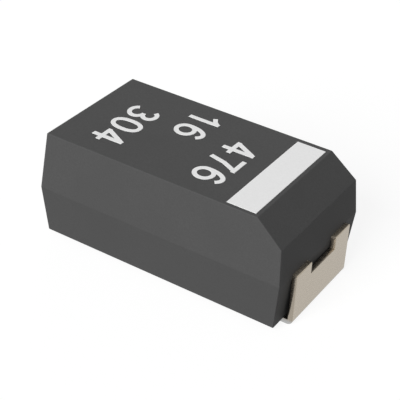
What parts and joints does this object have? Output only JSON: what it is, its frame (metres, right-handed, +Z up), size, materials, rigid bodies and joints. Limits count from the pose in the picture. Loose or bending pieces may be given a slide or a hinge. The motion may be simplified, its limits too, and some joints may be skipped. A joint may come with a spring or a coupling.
{
  "type": "tantalum capacitor",
  "caption": "Moulded surface-mount tantalum capacitor: drafted block with a bevelled positive end, a pale polarity stripe and a notched folded lead at each end.",
  "frame": {"origin": "centre of the footprint on the seating plane, under the middle of the case", "axes": "+X along the case towards the positive (bevelled) end, +Y across the width, +Z up from the seating plane to the marked top face"},
  "size_m": [0.006, 0.0032, 0.0025],
  "materials": {
    "epoxy": "matt moulded epoxy, dark grey",
    "tinned_lead": "matt tin plate",
    "sintered_tantalum": "sintered powder, matt grey",
    "tantalum_wire": "drawn wire",
    "ptfe": "white, waxy",
    "manganese_dioxide": "matt black-brown oxide",
    "carbon": "matt black carbon",
    "silver_paint": "matt silver paint",
    "silver_adhesive": "cured silver-filled adhesive",
    "white_ink": "matt white marking"
  },
  "bodies": {
    "root": {"epoxy_case": "epoxy", "anode_lead": "tinned_lead", "cathode_lead": "tinned_lead", "tantalum_pellet": "sintered_tantalum", "riser_wire": "tantalum_wire", "insulating_washer": "ptfe", "manganese_dioxide_coat": "manganese_dioxide", "carbon_coat": "carbon", "silver_coat": "silver_paint", "silver_adhesive": "silver_adhesive", "polarity_stripe": "white_ink"}
  },
  "joints": []
}
